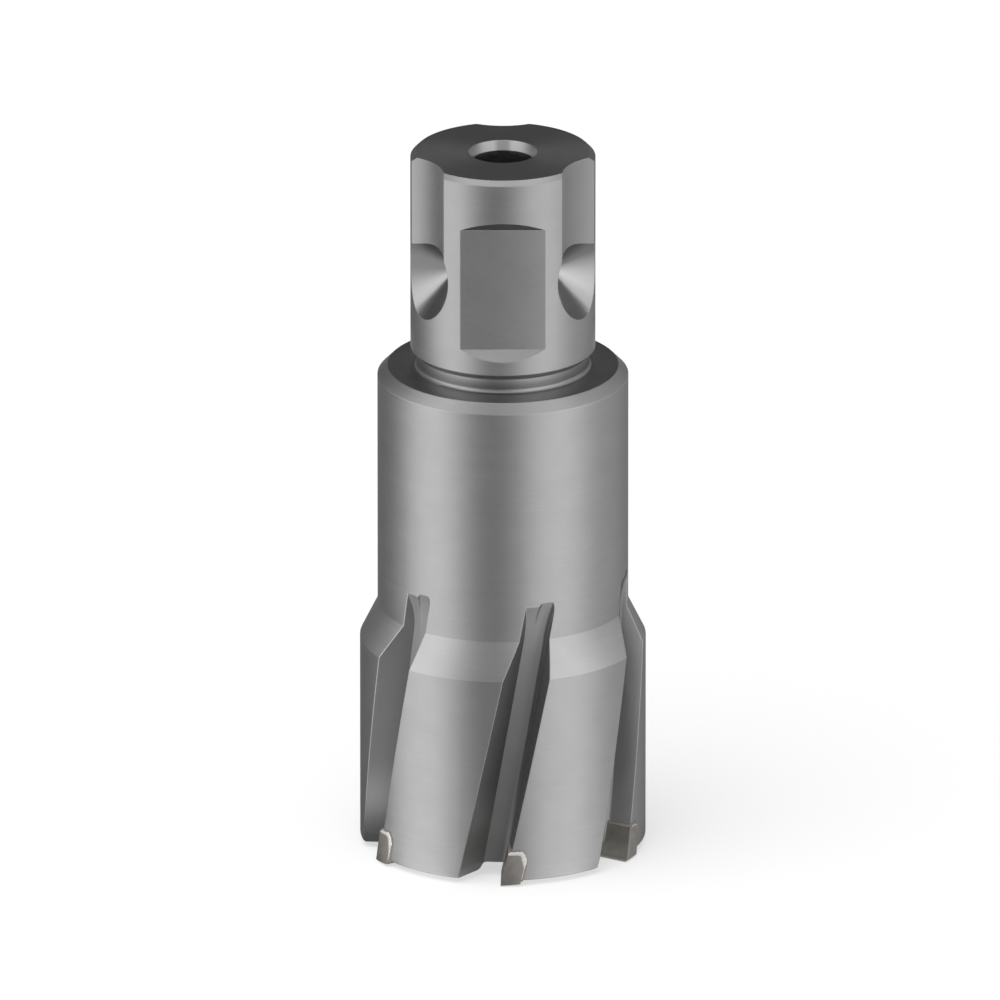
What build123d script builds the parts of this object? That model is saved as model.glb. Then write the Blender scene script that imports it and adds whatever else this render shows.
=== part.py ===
from build123d import *
import os
from math import acos, asin, cos, degrees, radians, sin, tan

# Annular cutter with brazed carbide tips, standing on its teeth. Millimetres and degrees.
# The origin is on the cutter's axis, level with the cutting edges. +Z points up the shank, and the
# front of the tool, with the first shank flat, faces -Y.
# Azimuths are counted from the front, anticlockwise seen from above.

# Shank, from the shoulder up
shank_diameter = 19.05
shank_length = 23.2
shank_top_chamfer = 0.5
neck_diameter = 17.8
neck_length = 2.1
neck_fillet = 0.4
shank_features = 3

# Set-screw flats
flat_distance = 8.45
flat_length = 13.0
flat_height_above_shoulder = 4.6
flat_ramp_angle = 45.0

# Grooves that lead the holder's balls down to the detent recesses
groove_radius = 6.2
groove_depth = 1.55
recess_height_above_shoulder = 11.4
recess_depth = 4.0
recess_cone_angle = 100.0

# Body and skirt
cutting_diameter = 30.0
tip_stands_proud = 0.25
body_diameter = 25.86
body_top_chamfer = 1.0
shoulder_height = 51.9
cone_top_height = 26.1
skirt_top_height = 22.4
tip_stands_below = 0.5
skirt_corner_chamfer = 0.3

# Inside: core cavity with a coned roof, and the pilot pin's bore through the shank
core_diameter = 21.2
core_depth = 38.0
core_roof_angle = 120.0
pilot_pin_diameter = 6.35
pilot_pin_clearance = 0.025
bore_mouth_diameter = 7.1
bore_mouth_depth = 1.0

# Helical flutes, one ahead of each tooth
tooth_count = 6
helix_angle = 12.0
flute_depth = 2.8
flute_floor_width = 2.3
flute_slot_width = 1.75
flute_cutting_wall_angle = 9.0
flute_heel_wall_angle = 42.0
flute_foot_radius = 0.5
flute_top_height = 26.0
runout_radius = 9.6
heel_runout_drop = 0.35

# Carbide tips, brazed into pockets
tip_azimuth = -1.0
tip_lead = 0.2
tip_width = 2.0
tip_height = 3.6
tip_stands_inside = 0.35
tip_chamfer_width = 0.5
tip_chamfer_height = 0.95
tip_corner_chamfer = 0.25
tip_back_taper = 0.05
tip_clearance_angle = 8.0
braze_thickness = 0.2
braze_bead = 0.08

# Gullets, ground through the wall ahead of each tip, and the relief ground on the heel behind them
gullet_height = 1.63
gullet_corner_radius = 0.6
gullet_side_angle = 28.0
heel_ramp_height = 0.3
heel_ramp_length = 2.6
heel_relief_angle = 17.0

# Room by which a cutting tool overshoots the metal
overshoot = 1.5

# Sizes worked out from the ones above
shank_radius = shank_diameter / 2
neck_radius = neck_diameter / 2
body_radius = body_diameter / 2
cutting_radius = cutting_diameter / 2
skirt_radius = cutting_radius - tip_stands_proud
core_radius = core_diameter / 2
bore_radius = pilot_pin_diameter / 2 + pilot_pin_clearance
floor_radius = skirt_radius - flute_depth
tip_inner_radius = core_radius - tip_stands_inside
overall_height = shoulder_height + shank_length
outer_reach = cutting_radius + overshoot
helix_lean = tan(radians(helix_angle))
twist_rate = degrees(helix_lean / skirt_radius)
flute_azimuth = tip_azimuth + degrees(
    asin(tip_lead / floor_radius) - asin(flute_floor_width / 2 / floor_radius)
)


def facing(azimuth):
    """Plane through the axis whose local x runs outwards at an azimuth, y anticlockwise and z up."""
    return Plane.XY.rotated((0, 0, azimuth - 90))


def radial_prism(outline):
    """Prism along local x of an outline drawn sideways and upwards, long enough to pass the wall."""
    inner = tip_inner_radius / 2
    drawing = Plane(origin=(inner, 0, 0), x_dir=(0, 1, 0), z_dir=(1, 0, 0))
    return extrude(drawing * outline, outer_reach - inner)


def ring(profile):
    """Solid of revolution of an outline drawn as radius and height, with its seam at the back."""
    return Rot(0, 0, 180) * revolve(Plane.XZ * profile, Axis.Z)


def turned_blank():
    """The steel before milling: everything that a lathe makes, in and out."""
    roof_rise = (core_radius - bore_radius) / tan(radians(core_roof_angle / 2))
    roof_height = tip_stands_below + core_depth
    neck_top = shoulder_height + neck_length
    hollow = neck_fillet * (1 - cos(radians(45)))
    outline = [
        Polyline(
            (core_radius, tip_stands_below),
            (skirt_radius - skirt_corner_chamfer, tip_stands_below),
            (skirt_radius, tip_stands_below + skirt_corner_chamfer),
            (skirt_radius, skirt_top_height),
            (body_radius, cone_top_height),
            (body_radius, shoulder_height - body_top_chamfer),
            (body_radius - body_top_chamfer, shoulder_height),
            (neck_radius + neck_fillet, shoulder_height),
        ),
        ThreePointArc(
            (neck_radius + neck_fillet, shoulder_height),
            (neck_radius + hollow, shoulder_height + hollow),
            (neck_radius, shoulder_height + neck_fillet),
        ),
        Polyline(
            (neck_radius, shoulder_height + neck_fillet),
            (neck_radius, neck_top - (shank_radius - neck_radius)),
            (shank_radius, neck_top),
            (shank_radius, overall_height - shank_top_chamfer),
            (shank_radius - shank_top_chamfer, overall_height),
            (bore_mouth_diameter / 2, overall_height),
            (bore_radius, overall_height - bore_mouth_depth),
            (bore_radius, roof_height + roof_rise),
            (core_radius, roof_height),
            (core_radius, tip_stands_below),
        ),
    ]
    return ring(make_face(Curve() + outline))


def shank_flat():
    """Cutter for the front set-screw flat, with a ramp at each end."""
    reach = shank_radius - flat_distance + overshoot
    spread = reach * tan(radians(90 - flat_ramp_angle))
    low = shoulder_height + flat_height_above_shoulder
    high = low + flat_length
    outline = Polygon(
        (flat_distance, low),
        (flat_distance + reach, low - spread),
        (flat_distance + reach, high + spread),
        (flat_distance, high),
        align=None,
    )
    return facing(0) * extrude(Plane.XZ * outline, shank_radius, both=True)


def shank_groove():
    """Cutter for the groove midway between two flats, and the coned recess at its foot."""
    centre_height = shoulder_height + recess_height_above_shoulder
    groove_length = overall_height + overshoot - centre_height
    standing = (Align.CENTER, Align.CENTER, Align.MIN)
    groove = Cylinder(groove_radius, groove_length, align=standing)
    cone_length = recess_depth + overshoot
    cone_mouth = cone_length * tan(radians(recess_cone_angle / 2))
    cone = Rot(0, 90, 0) * Cone(0, cone_mouth, cone_length, align=standing)
    groove = Pos(shank_radius - groove_depth + groove_radius, 0, centre_height) * groove
    recess = Pos(shank_radius - recess_depth, 0, centre_height) * cone
    return facing(360 / shank_features / 2) * (groove + recess)


def twisted(section, height):
    """Section that climbs from below the teeth and turns with the helix."""
    return Solid.extrude_linear_with_rotation(
        (Rot(0, 0, -twist_rate * overshoot) * Pos(0, 0, -overshoot) * section).face(),
        center=(0, 0, -overshoot),
        normal=(0, 0, height + overshoot),
        angle=twist_rate * (height + overshoot),
    )


def flute_envelope(drop):
    """Space outside the flute floor, which curves out of the metal at the top of the cut."""
    straight_top = flute_top_height - drop
    rise = outer_reach - floor_radius
    turn = acos(1 - rise / runout_radius)
    middle = (
        floor_radius + runout_radius * (1 - cos(turn / 2)),
        straight_top + runout_radius * sin(turn / 2),
    )
    end = (outer_reach, straight_top + runout_radius * sin(turn))
    outline = Curve() + [
        Polyline(
            end,
            (outer_reach, -overshoot),
            (floor_radius, -overshoot),
            (floor_radius, straight_top),
        ),
        ThreePointArc((floor_radius, straight_top), middle, end),
    ]
    return ring(make_face(outline))


def flute_cut(section, drop):
    """One pass of the flute's cutter along the helix."""
    return twisted(section, flute_top_height + runout_radius) & flute_envelope(drop)


def flute():
    """Cutter for one flute: a slot under the cutting wall, then the leaning heel wall beside it.

    The slot's cutter has rounded corners and leaves a radius at the feet of its walls.
    """
    half_width = flute_floor_width / 2
    inner = floor_radius - overshoot / 2
    outer = outer_reach + overshoot
    cutting_slope = tan(radians(flute_cutting_wall_angle))
    heel_slope = tan(radians(flute_heel_wall_angle))
    slot = Polygon(
        (inner, half_width - (floor_radius - inner) * cutting_slope),
        (inner, half_width - flute_slot_width),
        (outer, half_width - flute_slot_width),
        (outer, half_width + (outer - floor_radius) * cutting_slope),
        align=None,
    )
    heel = Polygon(
        (inner, (floor_radius - inner) * heel_slope - half_width),
        (outer, -half_width - (outer - floor_radius) * heel_slope),
        (outer, 0),
        (inner, 0),
        align=None,
    )
    slot_cut = flute_cut(slot, 0)
    floor = slot_cut.faces().filter_by(GeomType.CYLINDER).sort_by(lambda face: face.radius)[0]
    slot_cut = fillet(floor.edges().sort_by(SortBy.LENGTH)[-2:], flute_foot_radius)
    return facing(flute_azimuth) * (slot_cut + flute_cut(heel, heel_runout_drop))


def tip_side(back_foot, front_foot):
    """Side view of a tip, drawn from its cutting edge: rake face, top, chamfered back and foot."""
    chamfer_foot = tip_height - tip_chamfer_height
    corners = [
        (0, front_foot),
        (tip_width, back_foot),
        (tip_width, chamfer_foot),
        (tip_width - tip_chamfer_width, tip_height),
        (0, tip_height),
    ]
    leaning = [(width + height * helix_lean, height) for width, height in corners]
    return Polygon(*leaning, align=None)


def tip_prism():
    """Tip as cut from flat stock, with the clearance under it ground away behind the edge."""
    rise = tan(radians(tip_clearance_angle))
    back_foot = tip_width * rise / (1 - helix_lean * rise)
    return radial_prism(tip_side(back_foot, 0))


def seat_prism():
    """Pocket for a tip and its braze, open at the rake face and downwards."""
    grown = offset(tip_side(-overshoot, -overshoot), braze_thickness, kind=Kind.INTERSECTION)
    low = -overshoot - braze_thickness
    high = tip_height + braze_thickness
    behind_rake = Polygon(
        (low * helix_lean, low),
        (tip_width + overshoot, low),
        (tip_width + overshoot, high),
        (high * helix_lean, high),
        align=None,
    )
    return radial_prism(grown & behind_rake)


def carbide_tip():
    """Tip ground on its inside and outside, with a broken corner at the foot of its cutting edge."""
    ground = Polygon(
        (tip_inner_radius, 0),
        (cutting_radius - tip_corner_chamfer, 0),
        (cutting_radius, tip_corner_chamfer),
        (cutting_radius - tip_back_taper, tip_height),
        (tip_inner_radius, tip_height),
        align=None,
    )
    return tip_prism() & ring(ground)


def braze_foil():
    """Braze that fills the pocket behind and above the tip, with a slight bead on the outside."""
    filled = Polygon(
        (core_radius, tip_stands_below),
        (skirt_radius + braze_bead, tip_stands_below),
        (skirt_radius + braze_bead, tip_height + braze_thickness),
        (core_radius, tip_height + braze_thickness),
        align=None,
    )
    return seat_prism() & ring(filled) - tip_prism()


def gullet():
    """Cutter for the notch through the wall ahead of a tip, and the ramp on the land's heel."""
    ramp_top = tip_stands_below + heel_ramp_height
    left_top = tip_lead - flute_floor_width + gullet_height * helix_lean
    left_foot = left_top - (gullet_height - ramp_top) * tan(radians(gullet_side_angle))
    ramp_end = left_foot - heel_ramp_length
    outline = Polygon(
        (tip_width / 2, -overshoot),
        (tip_width / 2, gullet_height),
        (left_top, gullet_height),
        (left_foot, ramp_top),
        (ramp_end, tip_stands_below),
        (ramp_end, -overshoot),
        align=None,
    )
    bends = outline.vertices().filter_by_position(Axis.X, left_foot, left_top)
    return radial_prism(fillet(bends, gullet_corner_radius))


def heel_relief():
    """Cutter for the flat ground on the heel wall, leaning away downwards from the gullet's top."""
    lean = radians(heel_relief_angle)
    wall = radians(flute_heel_wall_angle)
    level = twist_rate * gullet_height
    ground = Plane(
        origin=(floor_radius, -flute_floor_width / 2, gullet_height),
        x_dir=(cos(wall), -sin(wall), 0),
        z_dir=(sin(wall) * cos(lean), cos(wall) * cos(lean), -sin(lean)),
    )
    length = (outer_reach - floor_radius) / cos(wall)
    block = Box(
        length, 2 * gullet_height, flute_floor_width / 3, align=(Align.MIN, Align.CENTER, Align.MIN)
    )
    return facing(flute_azimuth + level) * ground * block & flute_envelope(0)


def around(piece, count):
    """Copies of a piece spread evenly round the axis, anticlockwise from the first."""
    return [Rot(0, 0, step * 360 / count) * piece for step in range(count)]


at_tooth = facing(tip_azimuth)
tooth_cuts = [flute(), at_tooth * seat_prism(), at_tooth * gullet(), heel_relief()]
cutter_body = turned_blank()
for cut in [shank_flat(), shank_groove()]:
    cutter_body -= around(cut, shank_features)
for cut in tooth_cuts:
    cutter_body -= around(cut, tooth_count)

os.makedirs("parts", exist_ok=True)
export_step(cutter_body, "parts/cutter_body.step")
for number, piece in enumerate(around(at_tooth * carbide_tip(), tooth_count), 1):
    export_step(piece, f"parts/carbide_tip_{number}.step")
for number, piece in enumerate(around(at_tooth * braze_foil(), tooth_count), 1):
    export_step(piece, f"parts/braze_foil_{number}.step")
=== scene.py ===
from math import asin, cos, pi, radians, sin, tan
from random import Random
from types import SimpleNamespace

import bmesh
import bpy
from mathutils import Matrix, Vector


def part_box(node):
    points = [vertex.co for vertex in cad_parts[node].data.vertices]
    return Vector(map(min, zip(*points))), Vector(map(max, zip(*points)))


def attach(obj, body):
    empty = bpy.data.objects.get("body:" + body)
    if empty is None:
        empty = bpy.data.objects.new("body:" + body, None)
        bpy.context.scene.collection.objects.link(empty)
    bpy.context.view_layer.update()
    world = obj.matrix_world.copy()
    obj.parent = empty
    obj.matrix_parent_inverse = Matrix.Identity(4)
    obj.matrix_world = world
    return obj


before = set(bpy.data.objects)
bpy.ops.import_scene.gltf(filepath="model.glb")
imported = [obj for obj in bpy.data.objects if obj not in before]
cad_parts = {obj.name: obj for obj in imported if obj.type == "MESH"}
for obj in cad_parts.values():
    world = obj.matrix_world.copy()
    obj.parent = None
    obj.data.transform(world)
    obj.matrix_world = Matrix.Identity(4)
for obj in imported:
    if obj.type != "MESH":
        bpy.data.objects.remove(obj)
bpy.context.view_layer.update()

# The camera stands in front of the cutter and looks down on it by about twenty degrees.
# It stands well back with a long lens, so the tool's sides stay parallel as in the photo.
camera_elevation = radians(19.88)
camera_distance = 4.2
picture_width = 0.1031
sensor_width = 36.0
view_centre = Vector((-0.00030, 0, 0.03701))
nearest_seen = 0.1
furthest_seen = 10

away = Vector((0, -cos(camera_elevation), sin(camera_elevation)))
camera = bpy.data.objects.new("camera", bpy.data.cameras.new("camera"))
camera.data.sensor_width = sensor_width
camera.data.lens = sensor_width * camera_distance / picture_width
camera.data.clip_start = nearest_seen
camera.data.clip_end = furthest_seen
camera.location = view_centre + away * camera_distance
camera.rotation_euler = (-away).to_track_quat("-Z", "Y").to_euler()
bpy.context.scene.collection.objects.link(camera)
bpy.context.scene.camera = camera
bpy.context.scene.view_settings.view_transform = "Standard"


# The floor is one sheet of white card in a white room, lit by a broad soft lamp and the room's own
# light. The card as it is seen glows a little, so it stays white and keeps the tool's soft shadow.
def new_material(name):
    """Material with an empty node tree."""
    made = bpy.data.materials.new(name)
    made.use_nodes = True
    made.node_tree.nodes.clear()
    return made


def add_node(tree, kind, inputs=None, **settings):
    """Node of a kind. Each input, given by name or number, is a value or another node's socket."""
    node = tree.nodes.new(kind)
    for name, value in settings.items():
        setattr(node, name, value)
    for name, value in (inputs or {}).items():
        if isinstance(value, bpy.types.NodeSocket):
            tree.links.new(value, node.inputs[name])
        else:
            node.inputs[name].default_value = value
    return node


def maths(tree, operation, *values):
    """Result of a Math node."""
    return add_node(tree, "ShaderNodeMath", dict(enumerate(values)), operation=operation).outputs[0]


def seen_share(tree):
    """One where the camera looks, or a reflection or clear material shows a surface to it."""
    path = add_node(tree, "ShaderNodeLightPath").outputs
    seen = maths(tree, "MAXIMUM", path["Is Camera Ray"], path["Is Glossy Ray"])
    return maths(tree, "MAXIMUM", seen, path["Is Transmission Ray"])


floor_size = 1.2
card_white = (0.85, 0.85, 0.85, 1)
card_glow = 0.6
room_white = (1, 1, 1, 1)
lamps = [
    # name, direction it stands in, width that it shows in the sky, strength
    ("soft_lamp", Vector((-0.30, -0.35, 1.0)), radians(60), 2.6),
    ("room_light", Vector((0, 0, 1.0)), radians(180), 1.6),
]

mesh = bpy.data.meshes.new("floor")
form = bmesh.new()
bmesh.ops.create_grid(form, x_segments=1, y_segments=1, size=floor_size)
form.to_mesh(mesh)
form.free()
floor = bpy.data.objects.new("floor", mesh)
bpy.context.scene.collection.objects.link(floor)

card = new_material("white_card")
tree = card.node_tree
card_face = add_node(tree, "ShaderNodeBsdfDiffuse", {"Color": card_white})
glow = add_node(tree, "ShaderNodeEmission", {"Strength": 1.0})
share = maths(tree, "MULTIPLY", seen_share(tree), card_glow)
upper = add_node(tree, "ShaderNodeMixShader", {0: share, 1: card_face.outputs[0], 2: glow.outputs[0]})
below = add_node(tree, "ShaderNodeNewGeometry").outputs["Backfacing"]
clear = add_node(tree, "ShaderNodeBsdfTransparent")
whole = add_node(tree, "ShaderNodeMixShader", {0: below, 1: upper.outputs[0], 2: clear.outputs[0]})
add_node(tree, "ShaderNodeOutputMaterial", {"Surface": whole.outputs[0]})
floor.data.materials.append(card)

world = bpy.data.worlds.new("white_room")
world.use_nodes = True
tree = world.node_tree
background = tree.nodes["Background"].inputs
background["Color"].default_value = room_white
tree.links.new(seen_share(tree), background["Strength"])
bpy.context.scene.world = world

for name, direction, spread, strength in lamps:
    lamp = bpy.data.objects.new(name, bpy.data.lights.new(name, "SUN"))
    lamp.data.energy = strength
    lamp.data.angle = spread
    lamp.rotation_euler = (-direction).to_track_quat("-Z", "Y").to_euler()
    lamp.visible_glossy = False
    bpy.context.scene.collection.objects.link(lamp)


# A light tent of pale cloth stands close round the tool, and only the steel's reflections see it.
# It is grey, with pale panels left and right of the camera, on the right side and at the rear.
# Above the tool's top its front is pale and its back dark.
def between(tree, value, start, end, low=0.0, high=1.0, smooth=True):
    """Value that goes from low to high as another goes from start to end, and stays there."""
    inputs = {"Value": value, "From Min": start, "From Max": end, "To Min": low, "To Max": high}
    kind = "SMOOTHSTEP" if smooth else "LINEAR"
    return add_node(tree, "ShaderNodeMapRange", inputs, interpolation_type=kind).outputs[0]


def mix_values(tree, share, first, second):
    """Value that goes from the first to the second as the share goes from 0 to 1."""
    return add_node(tree, "ShaderNodeMix", {0: share, 2: first, 3: second}).outputs[0]


def off_from(tree, value, centre):
    """How far a value is from a centre, either way."""
    return maths(tree, "ABSOLUTE", maths(tree, "SUBTRACT", value, centre))


def read_place(tree):
    """The place on a piece, its height, and its distance and turn from the front round the axis."""
    place = add_node(tree, "ShaderNodeTexCoord").outputs["Object"]
    x, y, z = add_node(tree, "ShaderNodeSeparateXYZ", {"Vector": place}).outputs
    level = add_node(tree, "ShaderNodeCombineXYZ", {"X": x, "Y": y}).outputs[0]
    radius = add_node(tree, "ShaderNodeVectorMath", {0: level}, operation="LENGTH").outputs["Value"]
    azimuth = maths(tree, "ARCTAN2", x, maths(tree, "MULTIPLY", y, -1.0))
    return SimpleNamespace(place=place, level=level, x=x, y=y, z=z, radius=radius, azimuth=azimuth)


tent_radius = 0.022
tent_height = 0.200
tent_foot = 0.0002
tent_sides = 96
# Of each pair of directions or heights, the first is where a change starts and the second its end.
tent_grey = 0.20
tent_rear_grey = 0.14
rear_grey_turns = (radians(105), radians(140))
upper_cloth_share = 0.84
upper_cloth_heights = (0.048, 0.052)
panels = [
    # direction of its middle, half width at full brightness, half width where it ends, brightness added
    (radians(-67.5), radians(7), radians(50), 0.80),
    (radians(47), radians(7), radians(50), 0.64),
    (radians(100), radians(15), radians(70), 0.22),
]
low_rear_middle = radians(150)
low_rear_half_widths = (radians(25), radians(6))
low_rear_brightness = 0.60
high_rear_turns = (radians(155), radians(166))
high_rear_brightness = 0.90
high_rear_fades = (0.066, 0.073)
top_band_heights = (0.076, 0.080)
top_band_turns = (radians(70), radians(110))
top_band_front = 0.50
top_band_back = 0.082
canopy_heights = (0.085, 0.105)
canopy_turns = (radians(15), radians(50))
canopy_middle = 0.60
canopy_sides = 1.05
body_radius = 0.01293
shank_radius = 0.009525
skirt_shows_up_to = (0.0215, 0.0240)
body_shows_up_to = (0.049, 0.050)

low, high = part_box("cutter_body")
skirt_radius = (high[0] - low[0]) / 2

mesh = bpy.data.meshes.new("light_tent")
form = bmesh.new()
bmesh.ops.create_circle(form, cap_ends=True, radius=tent_radius, segments=tent_sides)
wall = bmesh.ops.extrude_edge_only(form, edges=form.edges[:])
lifted = [part for part in wall["geom"] if isinstance(part, bmesh.types.BMVert)]
bmesh.ops.translate(form, verts=lifted, vec=(0, 0, tent_height))
bmesh.ops.translate(form, verts=form.verts, vec=(0, 0, tent_foot))
form.to_mesh(mesh)
form.free()
tent = bpy.data.objects.new("light_tent", mesh)
for ray in ("camera", "diffuse", "transmission", "volume_scatter", "shadow"):
    setattr(tent, f"visible_{ray}", False)
bpy.context.scene.collection.objects.link(tent)

cloth = new_material("tent_cloth")
tree = cloth.node_tree
at = read_place(tree)
turned = maths(tree, "ABSOLUTE", at.azimuth)

# The panels are set out by the direction in which the tool's wall throws the view from the camera.
# On the cloth, which is close, such a direction lies nearer the front, the more so on a thick tool.
shown = between(tree, at.z, *skirt_shows_up_to, skirt_radius, body_radius, smooth=False)
narrower = between(tree, at.z, *body_shows_up_to, 0.0, shank_radius - body_radius, smooth=False)
shown = maths(tree, "ADD", shown, narrower)
nearness = maths(tree, "DIVIDE", shown, maths(tree, "MAXIMUM", at.radius, shown))
guess = maths(tree, "DIVIDE", at.azimuth, maths(tree, "SUBTRACT", 2.0, nearness))
offset = maths(tree, "ARCSINE", maths(tree, "MULTIPLY", nearness, maths(tree, "SINE", guess)))
direction = maths(tree, "ADD", at.azimuth, offset)
rearwards = maths(tree, "ABSOLUTE", direction)
brightness = between(tree, rearwards, *rear_grey_turns, tent_grey, tent_rear_grey)
upper_cloth = between(tree, at.z, *upper_cloth_heights, 1.0, upper_cloth_share)
brightness = maths(tree, "MULTIPLY", brightness, upper_cloth)
for middle, full, end, added in panels:
    panel = between(tree, off_from(tree, direction, middle), end, full, 0.0, added)
    brightness = maths(tree, "ADD", panel, brightness)

low_rear = between(
    tree, off_from(tree, turned, low_rear_middle), *low_rear_half_widths, 0.0, low_rear_brightness
)
high_rear_full = between(tree, at.z, *high_rear_fades, high_rear_brightness, 0.0)
high_rear = between(tree, turned, *high_rear_turns, 0.0, high_rear_full)
rear = mix_values(tree, between(tree, at.z, *body_shows_up_to), low_rear, high_rear)
brightness = maths(tree, "ADD", rear, brightness)

canopy = between(tree, turned, *canopy_turns, canopy_middle, canopy_sides)
front = mix_values(tree, between(tree, at.z, *canopy_heights), top_band_front, canopy)
band = between(tree, turned, *top_band_turns, front, top_band_back)
brightness = mix_values(tree, between(tree, at.z, *top_band_heights), brightness, band)
glow = add_node(tree, "ShaderNodeEmission", {"Strength": brightness})
add_node(tree, "ShaderNodeOutputMaterial", {"Surface": glow.outputs[0]})
tent.data.materials.append(cloth)


# The body is one bar of tool steel, turned and bored on a lathe, then milled and ground.
# The lathe leaves fine rings, and the flutes' skin from the milling cutter is duller; their darker grey
# is partly that skin and partly painted shade.
# Every edge is broken a little, and a painted highlight lightens it.
def mix_colours(tree, share, first, second):
    """Colour that goes from the first to the second as the share goes from 0 to 1."""
    inputs = {0: share, 6: first, 7: second}
    return add_node(tree, "ShaderNodeMix", inputs, data_type="RGBA").outputs[2]


def scale_colour(tree, colour, tone):
    """Colour made lighter or darker by a tone."""
    inputs = {0: colour, "Scale": tone}
    return add_node(tree, "ShaderNodeVectorMath", inputs, operation="SCALE").outputs[0]


def all_of(tree, *shares):
    """Share of a surface on which several shares hold together."""
    together = shares[0]
    for share in shares[1:]:
        together = maths(tree, "MULTIPLY", together, share)
    return together


def likeness(tree, first, second):
    """How far two directions agree, one when they are the same."""
    inputs = {0: first, 1: second}
    return add_node(tree, "ShaderNodeVectorMath", inputs, operation="DOT_PRODUCT").outputs["Value"]


def new_group(name, inputs, outputs):
    """Node group with named sockets. Gives the group, its inputs to read and its outputs to fill."""
    group = bpy.data.node_groups.new(name, "ShaderNodeTree")
    for direction, sockets in (("INPUT", inputs), ("OUTPUT", outputs)):
        for socket, kind in sockets.items():
            group.interface.new_socket(socket, in_out=direction, socket_type=f"NodeSocket{kind}")
    sources = group.nodes.new("NodeGroupInput").outputs
    return group, sources, group.nodes.new("NodeGroupOutput").inputs


def place_group(tree, group, inputs):
    """Outputs of a node group that is placed in a material with its own values."""
    return add_node(tree, "ShaderNodeGroup", inputs, node_tree=group).outputs


def place_marks(tree, place, sizes):
    """Marks of a size along each of a place's three directions, from -1 to 1."""
    return place_group(tree, marks, {"Place": place, "Size": sizes})["Marks"]


def metal_skin(tree, colour, roughness, normal, metal_share=1.0, turned_sheen=0.0):
    """Surface of a metal, whose sheen is drawn out along the lathe's rings where it was turned."""
    inputs = {
        "Base Color": colour,
        "Metallic": metal_share,
        "Roughness": roughness,
        "Anisotropic": turned_sheen,
        "Normal": normal,
    }
    skin = add_node(tree, "ShaderNodeBsdfPrincipled", inputs)
    add_node(tree, "ShaderNodeOutputMaterial", {"Surface": skin.outputs[0]})


def dress(start_of_name, material):
    """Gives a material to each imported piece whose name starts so."""
    for name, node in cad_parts.items():
        if name.startswith(start_of_name):
            node.material_slots[0].material = material


edge_samples = 6
edge_likeness = (0.997, 0.955)
mark_detail = 2.0
mark_contrast = (0.25, 0.75)

broken_edge, given, result = new_group(
    "broken_edge", {"Width": "Float"}, {"Normal": "Vector", "Edge": "Float"}
)
rounded = add_node(broken_edge, "ShaderNodeBevel", {"Radius": given["Width"]}, samples=edge_samples)
straight = add_node(broken_edge, "ShaderNodeNewGeometry").outputs["Normal"]
agreement = likeness(broken_edge, rounded.outputs[0], straight)
broken_edge.links.new(rounded.outputs[0], result["Normal"])
broken_edge.links.new(between(broken_edge, agreement, *edge_likeness), result["Edge"])

marks, given, result = new_group(
    "machining_marks", {"Place": "Vector", "Size": "Vector"}, {"Marks": "Float"}
)
inputs = {0: given["Place"], 1: given["Size"]}
scaled = add_node(marks, "ShaderNodeVectorMath", inputs, operation="DIVIDE").outputs[0]
noise = add_node(marks, "ShaderNodeTexNoise", {"Vector": scaled, "Scale": 1.0, "Detail": mark_detail})
contrast = between(marks, noise.outputs[0], *mark_contrast, -1.0, 1.0, smooth=False)
marks.links.new(contrast, result["Marks"])

# Of each pair, the first is where a change starts and the second its end.
steel_colour = (0.56, 0.56, 0.56, 1)
steel_roughness = 0.36
turned_sheen = 0.7
# The cone's paler grey is a painted highlight. The shoulder's and the down-facing ramps' dark greys are
# painted shade.
cone_painted_highlight = (0.68, 0.68, 0.68, 1)
cone_foot = 0.0224
cone_top = 0.0261
shoulder_painted_shade = (0.31, 0.31, 0.31, 1)
shoulder_height = 0.0519
shoulder_reach = 0.0002
shoulder_faces_up = 0.9
ramp_painted_shade = (0.18, 0.18, 0.18, 1)
ramp_foot = 0.060
ramp_faces_down = (-0.05, -0.6)

# The flutes' grey is partly the milled skin and partly painted shade inside the flutes.
flute_skin_and_shade = (0.46, 0.46, 0.46, 1)
flute_roughness = 0.50
flute_top = 0.040
flute_depth_from = 0.00006
flute_inner_radius = 0.0112
heel_painted_shade = (0.26, 0.26, 0.26, 1)
heel_foot_colour = (0.50, 0.50, 0.50, 1)
heel_foot = (0.0115, 0.0040)
heel_leans_from = (0.35, 0.5)
heel_leans_to = (0.92, 0.82)

recess_turns = [radians(60), radians(180), radians(300)]
recess_height = 0.0633
recess_half_height = 0.0050
recess_wall_leans = 0.766
recess_wall_spread = 0.05
round_wall_leans = 0.97
recess_sides = (-0.004, 0.004)
recess_painted_shade = 0.30
recess_painted_highlight = 0.97
recess_left_rise = (0.0, 0.57)
recess_right_rise = (-0.25, 0.44)
recess_roof_painted_shade = 0.18
recess_roof_faces_down = (-0.35, -0.65)
recess_floor_line_painted_shade = 0.24
recess_floor_line_faces_up = (0.58, 0.645)
recess_inner_painted_shade = (0.26, 0.26, 0.26, 1)
recess_inner_faces = (-0.43, -0.36)
recess_foot_faces_up = (0.30, 0.50)

mouth_foot = 0.0737
mouth_radius = 0.0047
mouth_faces_up = 0.9
mouth_painted_reflection = (0.95, 0.95, 0.95, 1)
mouth_stripe_inside = (0.10, 0.32)
mouth_stripe_outside = (0.95, 0.56)

ring_size = 0.00012
ring_length = 0.02
streak_size = 0.0002
streak_length = 0.004
helix_lean = tan(radians(12))
cloud_size = 0.0025
blotch_heights = (0.0255, 0.0275)
blotch_size = (0.001, 0.004, 0.00035)
mark_tone = 0.035
cloud_tone = 0.03
mark_roughness = 0.03
mark_depth = 0.0000012

edge_painted_highlight = (0.86, 0.86, 0.86, 1)
edge_width = 0.00011
edge_strength = 0.7
skirt_edge_strength = 0.42
skirt_edge_reach = 0.0002
deep_edge_strength = 0.2
deep_edge_depths = (0.00015, 0.0006)
recess_tip_radii = (0.0056, 0.0072)
recess_top = 0.070

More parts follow.
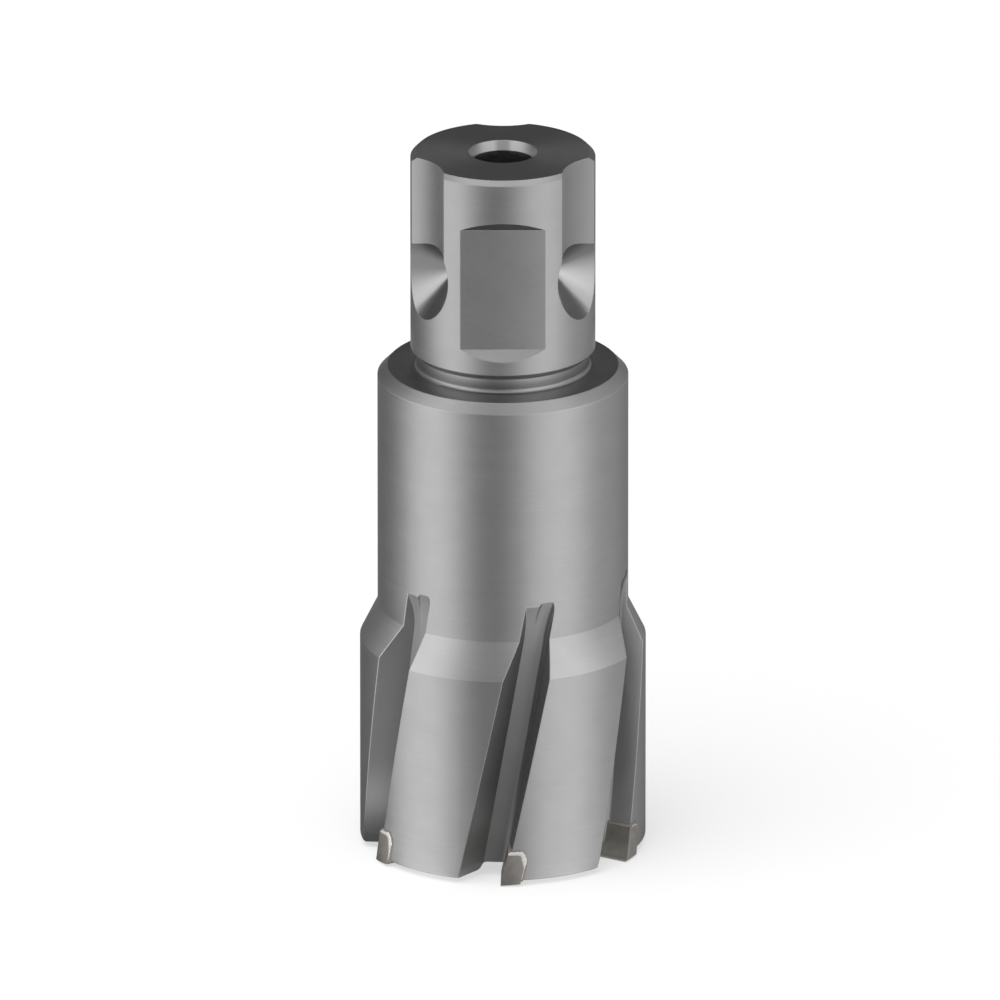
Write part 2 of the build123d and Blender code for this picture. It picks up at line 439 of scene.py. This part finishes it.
steel = new_material("tool_steel")
tree = steel.node_tree
at = read_place(tree)
facing = add_node(tree, "ShaderNodeNewGeometry").outputs["Normal"]
nx, ny, nz = add_node(tree, "ShaderNodeSeparateXYZ", {"Vector": facing}).outputs
faces_out = maths(tree, "DIVIDE", likeness(tree, at.level, facing), at.radius)

# The cone above the skirt gets a painted highlight. The shoulder and the flats' upper ramps, which face
# down, get painted shade.
on_cone = maths(tree, "COMPARE", at.z, (cone_foot + cone_top) / 2, (cone_top - cone_foot) / 2)
on_shoulder = all_of(
    tree,
    maths(tree, "COMPARE", at.z, shoulder_height, shoulder_reach),
    maths(tree, "GREATER_THAN", nz, shoulder_faces_up),
)
on_ramp = all_of(
    tree,
    between(tree, nz, *ramp_faces_down),
    maths(tree, "GREATER_THAN", at.z, ramp_foot),
)

# The flutes are what lies inside the turned outline. Their heel walls lean away from the radius.
outline = between(tree, at.z, cone_foot, cone_top, skirt_radius, body_radius, smooth=False)
depth = maths(tree, "SUBTRACT", outline, at.radius)
in_flute = all_of(
    tree,
    maths(tree, "GREATER_THAN", depth, flute_depth_from),
    maths(tree, "LESS_THAN", at.z, flute_top),
    maths(tree, "GREATER_THAN", at.radius, flute_inner_radius),
)
on_heel = all_of(
    tree,
    between(tree, faces_out, *heel_leans_from),
    between(tree, faces_out, *heel_leans_to),
)
# Painted shade darkens the heel walls, fading out towards their foot.
heel = mix_colours(tree, between(tree, at.z, *heel_foot), heel_painted_shade, heel_foot_colour)
milled_and_shaded_colour = mix_colours(tree, on_heel, flute_skin_and_shade, heel)
colour = mix_colours(tree, on_cone, steel_colour, cone_painted_highlight)
colour = mix_colours(tree, in_flute, colour, milled_and_shaded_colour)
colour = mix_colours(tree, on_ramp, colour, ramp_painted_shade)
colour = mix_colours(tree, on_shoulder, colour, shoulder_painted_shade)

# The detent recesses' cones are told by how their wall leans to the line through their middle.
# Their grey is painted shade and painted reflection: dark where the wall faces down, pale towards
# where it faces up, later on the left than on the right, with a painted dark line along the lowest
# part of its floor and painted shade on part of the floor of the front recesses.
toward_recess = -1.0
for turn in recess_turns:
    toward = likeness(tree, facing, (sin(turn), -cos(turn), 0))
    toward_recess = maths(tree, "MAXIMUM", toward, toward_recess)
in_recess = all_of(
    tree,
    maths(tree, "COMPARE", toward_recess, recess_wall_leans, recess_wall_spread),
    maths(tree, "LESS_THAN", faces_out, round_wall_leans),
    maths(tree, "COMPARE", at.z, recess_height, recess_half_height),
)
left_rise = between(tree, nz, *recess_left_rise, smooth=False)
left_rise = maths(tree, "MULTIPLY", left_rise, left_rise)
right_rise = between(tree, nz, *recess_right_rise, smooth=False)
rise = mix_values(tree, between(tree, at.x, *recess_sides), left_rise, right_rise)
recess_painted_grey = mix_values(tree, rise, recess_painted_shade, recess_painted_highlight)
on_roof = between(tree, nz, *recess_roof_faces_down, smooth=False)
recess_painted_grey = mix_values(tree, on_roof, recess_painted_grey, recess_roof_painted_shade)
on_floor_line = between(tree, nz, *recess_floor_line_faces_up)
recess_painted_grey = mix_values(tree, on_floor_line, recess_painted_grey, recess_floor_line_painted_shade)
inner_foot = all_of(
    tree,
    between(tree, ny, *recess_inner_faces),
    maths(tree, "LESS_THAN", at.y, 0.0),
    between(tree, nz, *recess_foot_faces_up),
)
recess_painted_colour = mix_colours(tree, inner_foot, recess_painted_grey, recess_inner_painted_shade)
colour = mix_colours(tree, in_recess, colour, recess_painted_colour)

# The mouth of the pilot bore is a turned cone, with painted reflections as pale stripes beside its
# middle, front and rear.
sideways = maths(tree, "DIVIDE", maths(tree, "ABSOLUTE", at.x), at.radius)
painted_stripe = all_of(
    tree,
    maths(tree, "GREATER_THAN", at.z, mouth_foot),
    maths(tree, "LESS_THAN", at.radius, mouth_radius),
    maths(tree, "LESS_THAN", nz, mouth_faces_up),
    between(tree, sideways, *mouth_stripe_inside),
    between(tree, sideways, *mouth_stripe_outside),
)
colour = mix_colours(tree, painted_stripe, colour, mouth_painted_reflection)

# Rings run round the turned skin, streaks along the flutes, and blotches over the flutes' run-out.
around = maths(tree, "MULTIPLY", at.azimuth, skirt_radius)
round_place = add_node(tree, "ShaderNodeCombineXYZ", {"X": at.radius, "Y": around, "Z": at.z}).outputs[0]
climb = maths(tree, "MULTIPLY", at.z, helix_lean / skirt_radius)
across = maths(tree, "MULTIPLY", maths(tree, "SUBTRACT", at.azimuth, climb), skirt_radius)
flute_place = add_node(tree, "ShaderNodeCombineXYZ", {"X": at.radius, "Y": across, "Z": at.z}).outputs[0]
rings = place_marks(tree, round_place, (ring_size, ring_length, ring_size))
streaks = place_marks(tree, flute_place, (streak_size, streak_size, streak_length))
clouds = place_marks(tree, at.place, (cloud_size, cloud_size, cloud_size))
blotches = place_marks(tree, round_place, blotch_size)
flute_marks = mix_values(tree, between(tree, at.z, *blotch_heights), streaks, blotches)
skin_marks = mix_values(tree, in_flute, rings, flute_marks)
tone = maths(tree, "MULTIPLY_ADD", skin_marks, mark_tone, 1.0)
tone = maths(tree, "MULTIPLY_ADD", clouds, cloud_tone, tone)
colour = scale_colour(tree, colour, tone)
roughness = between(tree, in_flute, 0.0, 1.0, steel_roughness, flute_roughness)
roughness = maths(tree, "MULTIPLY_ADD", skin_marks, mark_roughness, roughness)

# A painted highlight lightens the broken edges, less on the skirt and deep in the flutes, and their
# rounding is in the normal. Neither shows at the recesses' tips.
edge = place_group(tree, broken_edge, {"Width": edge_width})
above_skirt = (cone_foot, cone_foot + skirt_edge_reach)
strength = between(tree, at.z, *above_skirt, skirt_edge_strength, edge_strength)
strength = between(tree, depth, *deep_edge_depths, strength, deep_edge_strength)
strength = mix_values(tree, maths(tree, "LESS_THAN", at.z, flute_top), edge_strength, strength)
at_tip = all_of(
    tree,
    between(tree, at.radius, *recess_tip_radii, 1.0, 0.0),
    maths(tree, "LESS_THAN", at.z, recess_top),
    maths(tree, "GREATER_THAN", at.z, flute_top),
)
shine = all_of(tree, edge["Edge"], strength, maths(tree, "SUBTRACT", 1.0, at_tip))
colour = mix_colours(tree, shine, colour, edge_painted_highlight)
inputs = {0: at_tip, 4: edge["Normal"], 5: facing}
worn_normal = add_node(tree, "ShaderNodeMix", inputs, data_type="VECTOR").outputs[1]
inputs = {"Strength": 1.0, "Distance": mark_depth, "Height": skin_marks, "Normal": worn_normal}
relief = add_node(tree, "ShaderNodeBump", inputs)
metal_skin(tree, colour, roughness, relief.outputs[0], turned_sheen=turned_sheen)
dress("cutter_body", steel)

# Each tip is a block of sintered carbide, brazed into its pocket and ground with the finished tool.
# It is browner than the steel. The grinding leaves its outside paler than its rake face.
carbide_colour = (0.35, 0.33, 0.305, 1)
ground_colour = (0.52, 0.495, 0.47, 1)
ground_radii = (0.0148, 0.0149)
carbide_edge_painted_highlight = (0.66, 0.64, 0.61, 1)
carbide_edge_width = 0.00007
carbide_edge_strength = 0.5
carbide_roughness = 0.45
grit_size = 0.00012
grit_height = 0.00004
grit_tone = 0.08
grit_roughness = 0.05
stain_size = 0.0009
stain_tone = 0.12

carbide = new_material("ground_carbide")
tree = carbide.node_tree
at = read_place(tree)
grit = place_marks(tree, at.place, (grit_size, grit_size, grit_height))
stains = place_marks(tree, at.place, (stain_size, stain_size, stain_size))
tone = maths(tree, "MULTIPLY_ADD", grit, grit_tone, 1.0)
tone = maths(tree, "MULTIPLY_ADD", stains, stain_tone, tone)
outside = between(tree, at.radius, *ground_radii)
colour = scale_colour(tree, mix_colours(tree, outside, carbide_colour, ground_colour), tone)
# A painted highlight lightens the ground edges, whose rounding is in the normal.
edge = place_group(tree, broken_edge, {"Width": carbide_edge_width})
shine = maths(tree, "MULTIPLY", edge["Edge"], carbide_edge_strength)
colour = mix_colours(tree, shine, colour, carbide_edge_painted_highlight)
roughness = maths(tree, "MULTIPLY_ADD", grit, grit_roughness, carbide_roughness)
metal_skin(tree, colour, roughness, edge["Normal"])
dress("carbide_tip", carbide)

# Silver braze fills the seam behind and above each tip. Inside the seam it is tarnished brown.
# Some of it has run out over the seam and set there as a pale lumpy bead, more on some tips.
tarnished_colour = (0.40, 0.37, 0.33, 1)
bead_colour = (0.84, 0.82, 0.78, 1)
bead_radii = (0.01484, 0.01488)
braze_roughness = 0.42
braze_metal_share = 0.6
tarnish_size = 0.00045
tarnish_share = 0.35
lump_size = 0.0003
lump_height = 0.00002

tooth_count = 6
first_tooth = radians(-1)
bead_centre_radius = 0.01486
bead_half_height = 0.00013
thin_bead_height = 0.75
bead_dip = 0.12
bead_lumpiness = 0.22
bead_route = [
    # distance behind the cutting edge before the lean, height above it, half width
    (0.00005, 0.00350, 0.00012),
    (0.00040, 0.00356, 0.00020),
    (0.00095, 0.00356, 0.00022),
    (0.00145, 0.00352, 0.00030),
    (0.00168, 0.00310, 0.00036),
    (0.00188, 0.00262, 0.00033),
    (0.00192, 0.00205, 0.00020),
    (0.00191, 0.00140, 0.00015),
    (0.00190, 0.00095, 0.00017),
    (0.00190, 0.00052, 0.00010),
]
bead_steps = 4
bead_sides = 10
bead_smoothing = 1
bead_fullness = [1.0, 0.35, 0.8, 0.95, 0.7, 1.0]

braze = new_material("silver_braze")
tree = braze.node_tree
at = read_place(tree)
spots = place_marks(tree, at.place, (tarnish_size, tarnish_size, tarnish_size))
tarnish = maths(tree, "MULTIPLY", between(tree, spots, 0.0, 1.0), tarnish_share)
bright = maths(tree, "SUBTRACT", between(tree, at.radius, *bead_radii), tarnish)
colour = mix_colours(tree, bright, tarnished_colour, bead_colour)
lumps = place_marks(tree, at.place, (lump_size, lump_size, lump_size))
relief = add_node(tree, "ShaderNodeBump", {"Strength": 1.0, "Distance": lump_height, "Height": lumps})
metal_skin(tree, colour, braze_roughness, relief.outputs[0], metal_share=braze_metal_share)
dress("braze_foil", braze)


def seam_point(tooth, behind, height):
    """Middle of the bead where it crosses a tooth's seam, and the direction out of the tool there."""
    turn = tooth + asin((behind + height * helix_lean) / bead_centre_radius)
    outwards = Vector((sin(turn), -cos(turn), 0))
    return outwards * bead_centre_radius + Vector((0, 0, height)), outwards


for number, fullness in enumerate(bead_fullness):
    tooth = first_tooth + number * 2 * pi / tooth_count
    chance = Random(number)
    stations = []
    for start, end in zip(bead_route, bead_route[1:]):
        for step in range(bead_steps):
            behind, height, half_width = Vector(start).lerp(Vector(end), step / bead_steps)
            half_width *= fullness * (1 + chance.uniform(-bead_lumpiness, bead_lumpiness))
            raised = thin_bead_height + (1 - thin_bead_height) * fullness
            half_height = bead_half_height * raised * (1 - chance.uniform(0, bead_dip))
            stations.append((*seam_point(tooth, behind, height), half_width, half_height))

    form = bmesh.new()
    ring = bmesh.ops.create_circle(form, radius=1.0, segments=bead_sides)["verts"]
    edges = form.edges[:]
    before = Matrix.Identity(4)
    for index, (centre, outwards, half_width, half_height) in enumerate(stations):
        last = stations[max(index - 1, 0)][0]
        following = stations[min(index + 1, len(stations) - 1)][0]
        along = (following - last).normalized()
        across = along.cross(outwards).normalized()
        if index > 0:
            grown = bmesh.ops.extrude_edge_only(form, edges=edges)["geom"]
            ring = [part for part in grown if isinstance(part, bmesh.types.BMVert)]
            edges = [part for part in grown if isinstance(part, bmesh.types.BMEdge)]
            edges = [part for part in edges if len(part.link_faces) == 1]
        turned = Matrix((across, outwards, along)).transposed()
        section = Matrix.LocRotScale(centre, turned, Vector((half_width, half_height, half_height)))
        bmesh.ops.transform(form, matrix=section @ before.inverted(), verts=ring)
        before = section
    open_edges = [part for part in form.edges if len(part.link_faces) < 2]
    bmesh.ops.holes_fill(form, edges=open_edges, sides=bead_sides)
    bmesh.ops.recalc_face_normals(form, faces=form.faces)
    for face in form.faces:
        face.smooth = True
    mesh = bpy.data.meshes.new(f"braze_bead_{number + 1}")
    form.to_mesh(mesh)
    form.free()
    bead = bpy.data.objects.new(mesh.name, mesh)
    bpy.context.scene.collection.objects.link(bead)
    smoothing = bead.modifiers.new("smoothing", "SUBSURF")
    smoothing.levels = bead_smoothing
    smoothing.render_levels = bead_smoothing
    bead.data.materials.append(braze)
    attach(bead, "root")
